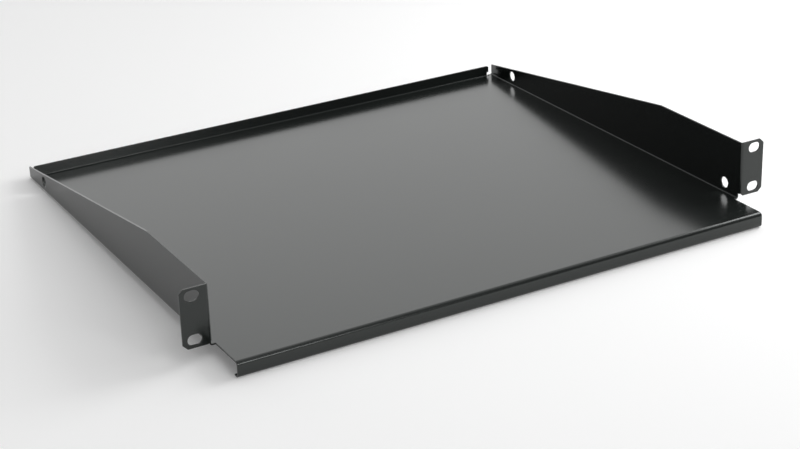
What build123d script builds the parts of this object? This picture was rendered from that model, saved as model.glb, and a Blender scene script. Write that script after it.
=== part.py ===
from build123d import *
import os

# A shelf for a 19 inch rack, folded from one sheet of steel. Sizes are in millimetres.
# X runs across the rack, Y towards its back and Z up. The origin is the centre of the four
# rack slots, on the rear face of the ears, which is the face that meets the rack's rails.

# Sheet and folds
SHEET = 1.2  # steel with its coating
FOLD_INSIDE = 1.0  # inside radius of every fold but the lip's
LIP_FOLD_INSIDE = 1.8  # inside radius of the lip's two folds

# Ears, which carry the rack's slot pattern
PANEL_WIDTH = 482.6  # over both ears
EAR_WIDTH = 19.9  # from a side wall's outer face to the ear's outer edge
EAR_TOP_MARGIN = 5.7  # from the upper slot's centre to the ear's top edge
EAR_BOTTOM_MARGIN = 5.9  # from the lower slot's centre to the ear's bottom edge
EAR_BEVEL = 3.3  # cut off each outer corner of an ear
SLOT_INSET = 8.75  # from a slot's centre to the ear's outer edge
SLOT_PITCH = 31.75  # between the two slots of an ear
SLOT_LENGTH = 10.7
SLOT_HEIGHT = 7.8

# Tray and its walls
TRAY_DROP = 2.0  # from the ears' bottom edge down to the tray's surface
REAR_REACH = 352.4  # from the ears' front face back to the outside of the rear wall
REAR_WALL_HEIGHT = 8.9  # above the tray's surface, and that of a side wall at its rear end
REAR_WALL_RIGHT_GAP = 4.4  # from the rear wall's right end to the side wall beside it
REAR_WALL_LEFT_GAP = 1.9  # the same at its left end
REAR_WALL_ROUND = 1.8  # radius of the rear wall's top corners
SIDE_LEVEL = 101.0  # level part of a side wall's top edge, from the ears' front face
SIDE_PAST_REAR = 0.9  # how far the side walls run past the outside of the rear wall

# Front lip, folded down from the tray and back under it
FRONT_REACH = 30.4  # from the ears' front face forward to the lip's face
FRONT_INSET = 4.3  # from a side wall's outer face in to the end of the lip
LIP_HEIGHT = 11.85  # from the tray's surface down to the underside of the return
RETURN_DEPTH = 5.4  # from the lip's face back to the edge of the return

# Reliefs, cut so that neighbouring folds do not tear
EAR_RELIEF_GAP = 0.7  # from the ear's fold back to the front edge of the side wall's fold
EAR_RELIEF_RISE = 1.7  # how far the ear's fold stops above the ear's bottom edge
CORNER_RELIEF = 1.9  # width of the round-ended slot through each end of the rear fold
CORNER_RELIEF_PAST = 0.2  # how far that slot reaches past the end of the rear wall
CORNER_RELIEF_REACH = 1.2  # from the rear fold forward to the slot's end in the tray
CORNER_RELIEF_RISE = 3.4  # from the tray's surface up to the slot's end in the rear wall

# Round holes low in each side wall, one near the front and one near the back
SIDE_HOLE = 8.7
SIDE_HOLE_HEIGHT = 7.5  # above the tray's surface
FRONT_HOLE_SETBACK = 18.5  # from the ears' front face
REAR_HOLE_SETBACK = 33.9  # from the outside of the rear wall

# Places that follow from the sizes above
FOLD_OUTSIDE = FOLD_INSIDE + SHEET
LIP_FOLD_OUTSIDE = LIP_FOLD_INSIDE + SHEET
EAR_FRONT = -SHEET
EAR_TOP = SLOT_PITCH / 2 + EAR_TOP_MARGIN
EAR_BOTTOM = -SLOT_PITCH / 2 - EAR_BOTTOM_MARGIN
TRAY_TOP = EAR_BOTTOM - TRAY_DROP
SIDE_OUTER = PANEL_WIDTH / 2 - EAR_WIDTH
SIDE_INNER = SIDE_OUTER - SHEET
SIDE_FRONT = EAR_FRONT + FOLD_OUTSIDE + EAR_RELIEF_GAP
REAR_OUTER = EAR_FRONT + REAR_REACH
REAR_INNER = REAR_OUTER - SHEET
REAR_FOLD_START = REAR_INNER - FOLD_INSIDE
REAR_WALL_TOP = TRAY_TOP + REAR_WALL_HEIGHT
REAR_WALL_MIDDLE = (REAR_WALL_LEFT_GAP - REAR_WALL_RIGHT_GAP) / 2
REAR_WALL_HALF = SIDE_INNER - REAR_WALL_RIGHT_GAP - REAR_WALL_MIDDLE
SIDE_REAR = REAR_OUTER + SIDE_PAST_REAR
LIP_FACE = EAR_FRONT - FRONT_REACH
LIP_FOLD_START = LIP_FACE + LIP_FOLD_OUTSIDE
LIP_BOTTOM = TRAY_TOP - LIP_HEIGHT
LIP_HALF = SIDE_OUTER - FRONT_INSET
RELIEF_HALF = REAR_WALL_HALF + CORNER_RELIEF_PAST - CORNER_RELIEF / 2

# Working lengths
LAP = FOLD_INSIDE  # how far a folded strip runs into the flat that it joins
BEYOND = PANEL_WIDTH + REAR_REACH  # reach of a view that only trims
PAST = SHEET  # how far a cutter runs past the faces that it opens


def folded_section(plane, points, radius, side):
    """Section of a folded strip. The points follow one face, and the sheet lies to one side."""
    with BuildSketch(plane) as sketch:
        with BuildLine():
            FilletPolyline(*points, radius=radius)
            offset(amount=SHEET, side=side)
        make_face()
    return sketch.sketch


def outline(plane, points):
    """Flat face with straight edges through the points."""
    with BuildSketch(plane) as sketch:
        with BuildLine():
            Polyline(*points, close=True)
        make_face()
    return sketch.sketch


def tray():
    """Flat floor, as wide as the lip, back to the rear ends of the side walls."""
    corners = [
        (-LIP_HALF, LIP_FOLD_START),
        (LIP_HALF, LIP_FOLD_START),
        (LIP_HALF, SIDE_REAR),
        (-LIP_HALF, SIDE_REAR),
    ]
    return extrude(outline(Plane.XY.offset(TRAY_TOP), corners), amount=-SHEET)


def rear_wall():
    """Low wall along the back, with rounded top corners. It stands a little left of the centre."""
    points = [
        (REAR_FOLD_START - LAP, TRAY_TOP),
        (REAR_INNER, TRAY_TOP),
        (REAR_INNER, REAR_WALL_TOP),
    ]
    strip = extrude(
        folded_section(Plane.YZ, points, FOLD_INSIDE, Side.RIGHT),
        amount=REAR_WALL_HALF,
        both=True,
    )
    top_corners = strip.edges().filter_by(Axis.Y).group_by(Axis.Z)[-1]
    return Pos(REAR_WALL_MIDDLE, 0) * fillet(top_corners, REAR_WALL_ROUND)


def front_lip():
    """Lip folded down from the tray's front edge, with a narrow return folded back."""
    points = [
        (LIP_FOLD_START + LAP, TRAY_TOP),
        (LIP_FACE, TRAY_TOP),
        (LIP_FACE, LIP_BOTTOM),
        (LIP_FACE + RETURN_DEPTH, LIP_BOTTOM),
    ]
    section = folded_section(Plane.YZ, points, LIP_FOLD_OUTSIDE, Side.LEFT)
    return extrude(section, amount=LIP_HALF, both=True)


def side_wall():
    """Right side wall with its fold: level at the front, then sloping down to the rear."""
    points = [
        (LIP_HALF, TRAY_TOP),
        (SIDE_INNER, TRAY_TOP),
        (SIDE_INNER, EAR_TOP),
    ]
    section = folded_section(Plane.XZ, points, FOLD_INSIDE, Side.RIGHT)
    strip = extrude(section, amount=BEYOND, both=True)
    side_view = [
        (SIDE_FRONT, TRAY_TOP - SHEET),
        (SIDE_FRONT, EAR_BOTTOM + EAR_RELIEF_RISE),
        (EAR_FRONT + FOLD_OUTSIDE, EAR_BOTTOM + EAR_RELIEF_RISE),
        (EAR_FRONT + FOLD_OUTSIDE, EAR_TOP),
        (EAR_FRONT + SIDE_LEVEL, EAR_TOP),
        (SIDE_REAR, REAR_WALL_TOP),
        (SIDE_REAR, TRAY_TOP - SHEET),
    ]
    view = outline(Plane.YZ, side_view)
    for y in (EAR_FRONT + FRONT_HOLE_SETBACK, REAR_OUTER - REAR_HOLE_SETBACK):
        view -= Plane.YZ * Pos(y, TRAY_TOP + SIDE_HOLE_HEIGHT) * Circle(SIDE_HOLE / 2)
    return strip & extrude(view, amount=BEYOND, both=True)


def ear():
    """Right ear, folded outward from the side wall's front edge, with its two rack slots."""
    points = [
        (SIDE_INNER, EAR_FRONT + FOLD_OUTSIDE + LAP),
        (SIDE_INNER, EAR_FRONT),
        (PANEL_WIDTH / 2, EAR_FRONT),
    ]
    section = folded_section(Plane.XY, points, FOLD_OUTSIDE, Side.LEFT)
    strip = extrude(section, amount=BEYOND, both=True)
    fold_end = SIDE_INNER + FOLD_OUTSIDE
    edge = PANEL_WIDTH / 2
    front_view = [
        (SIDE_INNER, EAR_TOP),
        (SIDE_INNER, EAR_BOTTOM + EAR_RELIEF_RISE),
        (fold_end - EAR_RELIEF_RISE / 2, EAR_BOTTOM + EAR_RELIEF_RISE),
        (fold_end + EAR_RELIEF_RISE / 2, EAR_BOTTOM),
        (edge - EAR_BEVEL, EAR_BOTTOM),
        (edge, EAR_BOTTOM + EAR_BEVEL),
        (edge, EAR_TOP - EAR_BEVEL),
        (edge - EAR_BEVEL, EAR_TOP),
    ]
    face = outline(Plane.XZ, front_view)
    for z in (-SLOT_PITCH / 2, SLOT_PITCH / 2):
        face -= Plane.XZ * Pos(edge - SLOT_INSET, z) * SlotOverall(SLOT_LENGTH, SLOT_HEIGHT)
    return strip & extrude(face, amount=BEYOND, both=True)


def rear_notch():
    """Cutter for what the flat sheet lacks between the corner reliefs, behind the rear fold."""
    depth = SIDE_REAR + PAST - REAR_FOLD_START
    view = Pos(REAR_WALL_MIDDLE, REAR_FOLD_START + depth / 2) * Rectangle(2 * RELIEF_HALF, depth)
    return extrude(Plane.XY.offset(TRAY_TOP) * view, amount=SHEET + PAST, both=True)


def corner_relief():
    """Cutter for the right corner's relief, a slot with one round end in the tray and one in the wall."""
    radius = CORNER_RELIEF / 2
    x = REAR_WALL_MIDDLE + RELIEF_HALF
    low = TRAY_TOP - SHEET - PAST
    front = REAR_FOLD_START - CORNER_RELIEF_REACH + radius
    top = TRAY_TOP + CORNER_RELIEF_RISE - radius
    depth = SIDE_REAR + PAST - front
    middle = front + depth / 2
    in_tray = Pos(x, front) * Circle(radius) + Pos(x, middle) * Rectangle(CORNER_RELIEF, depth)
    cutter = Pos(0, 0, low) * extrude(in_tray, amount=top - low)
    return cutter + Pos(x, middle, top) * Rot(90, 0, 0) * Cylinder(radius, depth)


def shelf():
    """The whole folded sheet as one solid."""
    right = side_wall() + ear()
    body = tray() + front_lip() + right + mirror(right, about=Plane.YZ)
    body = body - rear_notch() + rear_wall()
    relief = corner_relief()
    return body - relief - mirror(relief, about=Plane.YZ.offset(REAR_WALL_MIDDLE))


os.makedirs("parts", exist_ok=True)
export_step(shelf(), "parts/shelf.step")
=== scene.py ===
import math

import bpy
from mathutils import Matrix, Vector


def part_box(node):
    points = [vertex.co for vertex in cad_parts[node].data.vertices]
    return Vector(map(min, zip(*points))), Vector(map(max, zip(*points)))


# Black coated rack shelf on a white floor, seen from its front left. Lengths are in metres.

# Camera, which gives the photograph's view
CAMERA_PLACE = (-0.637116, -1.012401, 0.536834)
CAMERA_HEADING = math.radians(-29.0009)
CAMERA_PITCH = math.radians(-23.7559)
CAMERA_ROLL = math.radians(1.9775)
CAMERA_LENS = 83.464  # millimetres, with the sensor's width below
SENSOR_WIDTH = 36.0
NEAREST_SEEN = 0.01

# Black coat
COAT_COLOR = (0.0098, 0.0120, 0.0111)
COAT_GLOSS_TINT = (0.965, 1.0, 0.982)
COAT_ROUGHNESS = 0.20
COAT_ROUGHNESS_SPREAD = 0.02
COAT_IOR = 1.55
PEBBLE_SIZE = 0.0007  # from one grain of the coat's texture to the next
PEBBLE_DETAIL = 2.0
PEBBLE_HEIGHT = 0.000002
CLOUDS_PER_METRE = 18.0  # patches in which the gloss is a little stronger or weaker
CLOUD_DETAIL = 3.0
CUT_ROUND = 0.0004  # radius to which the sheet's cut edges are worn and coated

# Floor
FLOOR_HALF = 6.0  # from its middle to an edge
TOUCHING = 0.00001  # heights closer than this count as the same
FLOOR_COLOR = (0.88, 0.88, 0.88)
FLOOR_LIFT = 0.14  # light that the floor adds for the camera and in reflections

# Surroundings, where 1 is white: a bright side and a dim side, both less bright overhead, and a
# glow high in front. Azimuths and elevations are in degrees, and azimuths turn from +Y towards +X.
# A share is the cosine of the angle between two directions.
BRIGHT_SIDE = 1.48
DIM_SIDE = 0.16
BRIGHT_AZIMUTH = 47.0
BRIGHT_SHARES = (0.0, 0.45)  # where the dim side ends and where the bright side begins
OVERHEAD_SHARE = 0.62  # what is left of either side's light straight overhead
OVERHEAD_HEIGHTS = (0.28, 0.90)  # sines of the elevations between which it fades
GLOW = 2.2
GLOW_AZIMUTH = 178.0
GLOW_ELEVATION = 55.0
GLOW_SHARES = (0.90, 1.0)  # where the glow begins and where it is full
WHITE = (1.0, 1.0, 1.0, 1.0)
UP = (0.0, 0.0, 1.0)

# Square lamps: width, radiance, and where they hang
LAMP_TARGET = Vector((0.0, 0.1, -0.03))
KEY_WIDTH = 0.5
KEY_RADIANCE = 6.5
KEY_AZIMUTH = 92.0
KEY_ELEVATION = 31.0
KEY_DISTANCE = 1.0
FRONT_WIDTH = 0.4
FRONT_RADIANCE = 11.0
FRONT_PLACE = (0.64, -2.2, 0.9)


def add_object(name, data):
    """New object in the scene."""
    added = bpy.data.objects.new(name, data)
    bpy.context.scene.collection.objects.link(added)
    return added


def direction(azimuth, elevation=0.0):
    """Unit vector at an azimuth and an elevation, in degrees."""
    turn = math.radians(azimuth)
    rise = math.radians(elevation)
    level = math.cos(rise)
    return Vector((level * math.sin(turn), level * math.cos(turn), math.sin(rise)))


def node_tree(owner):
    """Empty node tree of a material or a world."""
    owner.use_nodes = True
    owner.node_tree.nodes.clear()
    return owner.node_tree


def add_node(tree, kind, **inputs):
    """New node with some of its input values set, by socket name with _ for a space."""
    node = tree.nodes.new(kind)
    for name, value in inputs.items():
        node.inputs[name.replace("_", " ")].default_value = value
    return node


def add_math(tree, operation, first, second):
    """Math node's result. Each operand is a socket or a number."""
    node = tree.nodes.new("ShaderNodeMath")
    node.operation = operation
    for socket, operand in zip(node.inputs, (first, second)):
        if isinstance(operand, (int, float)):
            socket.default_value = operand
        else:
            tree.links.new(operand, socket)
    return node.outputs["Value"]


def add_share(tree, place, towards):
    """Cosine of the angle between the ray's direction and another."""
    node = tree.nodes.new("ShaderNodeVectorMath")
    node.operation = "DOT_PRODUCT"
    tree.links.new(place.outputs["Generated"], node.inputs[0])
    node.inputs[1].default_value = towards
    return node.outputs["Value"]


def add_fade(tree, value, ends, first, last):
    """Result that goes smoothly from first to last as the value crosses the two ends."""
    start, end = ends
    node = add_node(tree, "ShaderNodeMapRange", From_Min=start, From_Max=end, To_Min=first, To_Max=last)
    node.interpolation_type = "SMOOTHSTEP"
    tree.links.new(value, node.inputs["Value"])
    return node.outputs["Result"]


def seen_directly(tree):
    """1 for rays of the camera and for those that gloss or glass sends on, else 0."""
    path = tree.nodes.new("ShaderNodeLightPath")
    glossy = add_math(tree, "MAXIMUM", path.outputs["Is Camera Ray"], path.outputs["Is Glossy Ray"])
    return add_math(tree, "MAXIMUM", glossy, path.outputs["Is Transmission Ray"])


def black_coat():
    """Satin black powder coat: a fine pebbled texture and a slightly uneven gloss."""
    material = bpy.data.materials.new("black_coat")
    tree = node_tree(material)
    link = tree.links.new
    place = tree.nodes.new("ShaderNodeTexCoord")

    pebbles = add_node(tree, "ShaderNodeTexNoise", Scale=1.0 / PEBBLE_SIZE, Detail=PEBBLE_DETAIL)
    link(place.outputs["Object"], pebbles.inputs["Vector"])
    rounded = add_node(tree, "ShaderNodeBevel", Radius=CUT_ROUND)
    bump = add_node(tree, "ShaderNodeBump", Strength=1.0, Distance=PEBBLE_HEIGHT)
    link(pebbles.outputs["Fac"], bump.inputs["Height"])
    link(rounded.outputs["Normal"], bump.inputs["Normal"])

    clouds = add_node(tree, "ShaderNodeTexNoise", Scale=CLOUDS_PER_METRE, Detail=CLOUD_DETAIL)
    link(place.outputs["Object"], clouds.inputs["Vector"])
    gloss = add_node(
        tree,
        "ShaderNodeMapRange",
        To_Min=COAT_ROUGHNESS - COAT_ROUGHNESS_SPREAD,
        To_Max=COAT_ROUGHNESS + COAT_ROUGHNESS_SPREAD,
    )
    link(clouds.outputs["Fac"], gloss.inputs["Value"])

    shader = add_node(
        tree,
        "ShaderNodeBsdfPrincipled",
        Base_Color=(*COAT_COLOR, 1.0),
        Specular_Tint=(*COAT_GLOSS_TINT, 1.0),
        IOR=COAT_IOR,
    )
    link(gloss.outputs["Result"], shader.inputs["Roughness"])
    link(bump.outputs["Normal"], shader.inputs["Normal"])
    output = tree.nodes.new("ShaderNodeOutputMaterial")
    link(shader.outputs["BSDF"], output.inputs["Surface"])
    return material


def floor_material():
    """White floor that still shows the shelf's shadow."""
    material = bpy.data.materials.new("floor_white")
    tree = node_tree(material)
    link = tree.links.new
    matt = add_node(tree, "ShaderNodeBsdfDiffuse", Color=(*FLOOR_COLOR, 1.0))
    lift = tree.nodes.new("ShaderNodeEmission")
    link(add_math(tree, "MULTIPLY", seen_directly(tree), FLOOR_LIFT), lift.inputs["Strength"])
    both = tree.nodes.new("ShaderNodeAddShader")
    link(matt.outputs["BSDF"], both.inputs[0])
    link(lift.outputs["Emission"], both.inputs[1])
    output = tree.nodes.new("ShaderNodeOutputMaterial")
    link(both.outputs["Shader"], output.inputs["Surface"])
    return material


def resting_line(shelf, middle):
    """Point on the shelf's lowest line, at its front, and the slope up to what it rests on behind."""
    points = [vertex.co for vertex in shelf.data.vertices]
    lowest = min(point.z for point in points)
    lowest_points = [point for point in points if point.z < lowest + TOUCHING]
    front = max(lowest_points, key=lambda point: point.y)
    behind = [point for point in points if point.y > middle]
    slope = min((point.z - front.z) / (point.y - front.y) for point in behind)
    return front, slope


def add_floor(shelf, middle):
    """Floor that meets the shelf's front lip and its rear fold, as when it lies on a table."""
    front, slope = resting_line(shelf, middle)
    mesh = bpy.data.meshes.new("floor")
    half = FLOOR_HALF
    corners = [(-half, -half, 0), (half, -half, 0), (half, half, 0), (-half, half, 0)]
    mesh.from_pydata(corners, [], [(0, 1, 2, 3)])
    mesh.materials.append(floor_material())
    floor = add_object("floor", mesh)
    floor.location = (0.0, front.y, front.z)
    floor.rotation_euler = (math.atan(slope), 0.0, 0.0)


def add_world():
    """Soft surroundings: bright on one side, dim on the other, with a glow high in front."""
    world = bpy.data.worlds.new("studio")
    bpy.context.scene.world = world
    tree = node_tree(world)
    place = tree.nodes.new("ShaderNodeTexCoord")
    bright = add_share(tree, place, direction(BRIGHT_AZIMUTH))
    side = add_fade(tree, bright, BRIGHT_SHARES, DIM_SIDE, BRIGHT_SIDE)
    height = add_share(tree, place, UP)
    overhead = add_fade(tree, height, OVERHEAD_HEIGHTS, 1.0, OVERHEAD_SHARE)
    front = add_share(tree, place, direction(GLOW_AZIMUTH, GLOW_ELEVATION))
    glow = add_fade(tree, front, GLOW_SHARES, 0.0, GLOW)
    level = add_math(tree, "ADD", add_math(tree, "MULTIPLY", side, overhead), glow)

    background = add_node(tree, "ShaderNodeBackground", Color=WHITE)
    tree.links.new(level, background.inputs["Strength"])
    output = tree.nodes.new("ShaderNodeOutputWorld")
    tree.links.new(background.outputs["Background"], output.inputs["Surface"])


def add_lamp(name, width, radiance, place):
    """Square lamp that faces the shelf. Its power in watts follows from its radiance and area."""
    data = bpy.data.lights.new(name, "AREA")
    data.size = width
    data.energy = math.pi * width**2 * radiance
    lamp = add_object(name, data)
    lamp.location = place
    lamp.rotation_euler = (LAMP_TARGET - Vector(place)).to_track_quat("-Z", "Y").to_euler()


def add_lamps():
    """Key lamp low at the right, and a small lamp in front."""
    key_place = LAMP_TARGET + KEY_DISTANCE * direction(KEY_AZIMUTH, KEY_ELEVATION)
    add_lamp("key", KEY_WIDTH, KEY_RADIANCE, key_place)
    add_lamp("front", FRONT_WIDTH, FRONT_RADIANCE, FRONT_PLACE)


def add_camera():
    """Camera that looks along +Y with +Z up, then is rolled, pitched and turned to its heading."""
    data = bpy.data.cameras.new("camera")
    data.sensor_width = SENSOR_WIDTH
    data.lens = CAMERA_LENS
    data.clip_start = NEAREST_SEEN
    camera = add_object("camera", data)
    upright = Matrix.Rotation(math.radians(90.0), 4, "X")
    roll = Matrix.Rotation(CAMERA_ROLL, 4, "Y")
    pitch = Matrix.Rotation(CAMERA_PITCH, 4, "X")
    heading = Matrix.Rotation(CAMERA_HEADING, 4, "Z")
    camera.matrix_world = Matrix.Translation(CAMERA_PLACE) @ heading @ pitch @ roll @ upright
    bpy.context.scene.camera = camera


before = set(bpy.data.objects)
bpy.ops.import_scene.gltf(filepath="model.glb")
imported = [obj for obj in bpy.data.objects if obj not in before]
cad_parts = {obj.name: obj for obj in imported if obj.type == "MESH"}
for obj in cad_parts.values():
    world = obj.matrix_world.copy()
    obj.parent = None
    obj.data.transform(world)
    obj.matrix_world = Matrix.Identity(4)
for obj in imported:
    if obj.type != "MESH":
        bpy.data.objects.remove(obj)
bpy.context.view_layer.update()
bpy.context.scene.view_settings.view_transform = "Standard"

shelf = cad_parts["shelf"]
shelf.data.materials.clear()
shelf.data.materials.append(black_coat())

low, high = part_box("shelf")
add_floor(shelf, (low.y + high.y) / 2)
add_world()
add_lamps()
add_camera()
